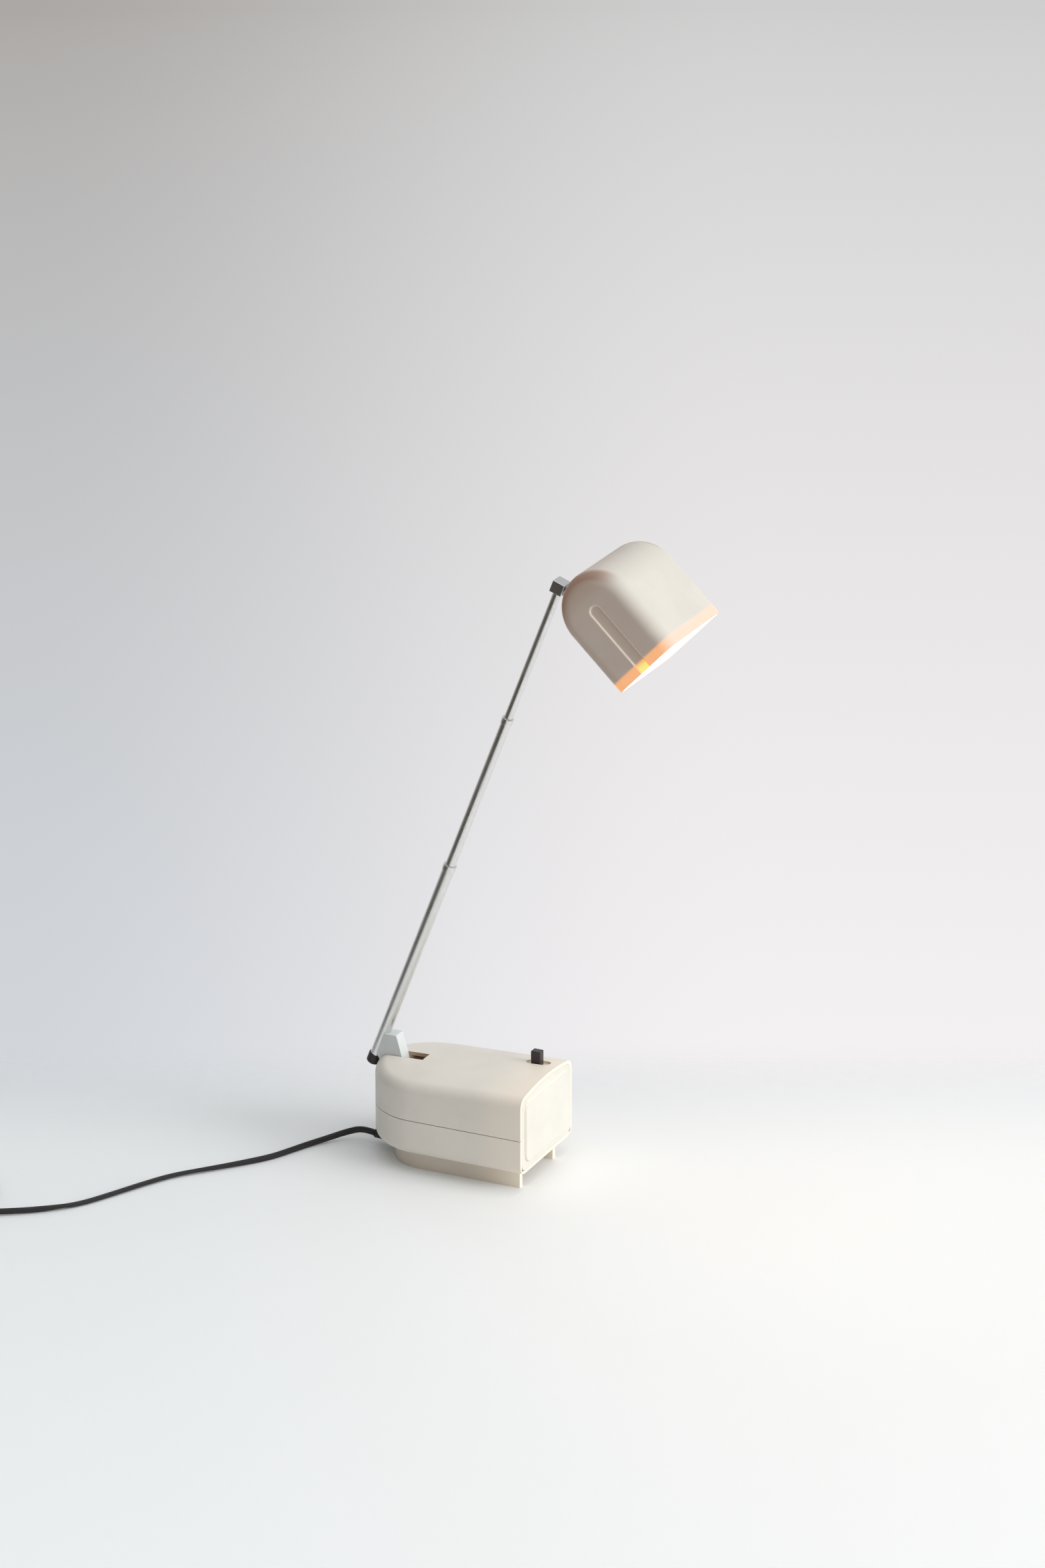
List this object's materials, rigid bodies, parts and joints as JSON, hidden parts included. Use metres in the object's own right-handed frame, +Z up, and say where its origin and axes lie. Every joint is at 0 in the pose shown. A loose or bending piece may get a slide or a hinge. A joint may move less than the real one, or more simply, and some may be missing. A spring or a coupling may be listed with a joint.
{
  "type": "telescopic desk lamp",
  "caption": "Folding desk lamp: a round-backed transformer base, a pivoting telescopic arm of nested tubes and a loaf-shaped tilting shade that folds against the base.",
  "frame": {"origin": "on the floor, under the middle of the lamp's box in the pictured pose, cord left out", "axes": "+X from the round back of the base to its front, +Y across the base to the switch's side, +Z up"},
  "size_m": [0.5363, 0.2769, 0.4362],
  "materials": {
    "casing": "satin",
    "panel": "satin",
    "foot": "satin",
    "shade": "satin",
    "white": "satin",
    "black": "matte",
    "chrome": "polished",
    "steel": "plated",
    "core": "varnished",
    "winding": "taped",
    "nylon": "satin",
    "reflector": "gloss white",
    "ceramic": "glazed",
    "brass": "polished",
    "glass": "frosted",
    "flex": "matte"
  },
  "bodies": {
    "base": {"base_upper_shell": "casing", "base_lower_shell": "casing", "front_panel": "panel", "foot_skirt": "foot", "base_screws": "steel", "foot_screws": "steel", "pivot_pin": "steel", "pivot_clip": "steel", "switch_body": "black", "switch_screws": "steel", "transformer_core": "core", "transformer_winding": "winding", "transformer_strap": "steel", "transformer_screws": "steel", "terminal_block": "nylon", "strain_relief": "flex", "mains_lead": "flex", "cord": "flex", "cord_coil": "flex", "coil_ties": "black", "cord_tail": "flex", "plug_body": "black", "plug_pins": "brass"},
    "switch": {"switch_knob": "black"},
    "lower_arm": {"arm_bracket": "white", "bracket_rivets": "chrome", "outer_tube": "chrome", "end_cap": "black", "outer_collar": "chrome"},
    "middle_section": {"middle_tube": "chrome", "middle_slider": "nylon", "middle_collar": "chrome"},
    "upper_section": {"upper_tube": "chrome", "upper_slider": "nylon"},
    "knuckle_joint": {"knuckle": "chrome", "hinge_pin": "steel", "hinge_washers": "steel"},
    "head": {"shade": "shade", "reflector": "reflector", "head_lug": "white", "lug_screws": "chrome", "lamp_holder": "ceramic", "bulb_cap": "brass", "bulb_glass": "glass"}
  },
  "joints": [
    {"name": "switch_slide", "type": "slide", "parent": "base", "child": "switch", "axis": [1, 0, 0], "range_m": [0, 0.005]},
    {"name": "arm_fold", "type": "hinge", "parent": "base", "child": "lower_arm", "pos_m": [-0.09689, 0, 0.06085], "axis": [0, -1, 0], "range_deg": [-68.8, 21.2]},
    {"name": "middle_slide", "type": "slide", "parent": "lower_arm", "child": "middle_section", "axis": [0.3616, 0, 0.9323], "range_m": [-0.095, 0]},
    {"name": "upper_slide", "type": "slide", "parent": "middle_section", "child": "upper_section", "axis": [0.3616, 0, 0.9323], "range_m": [-0.09045, 0]},
    {"name": "head_swivel", "type": "hinge", "parent": "upper_section", "child": "knuckle_joint", "pos_m": [0.02233, 0, 0.40969], "axis": [0.3616, 0, 0.9323], "range_deg": [-90, 90]},
    {"name": "head_tilt", "type": "hinge", "parent": "knuckle_joint", "child": "head", "pos_m": [0.02979, 0, 0.4068], "axis": [0, -1, 0], "range_deg": [-67.3, 50]}
  ]
}
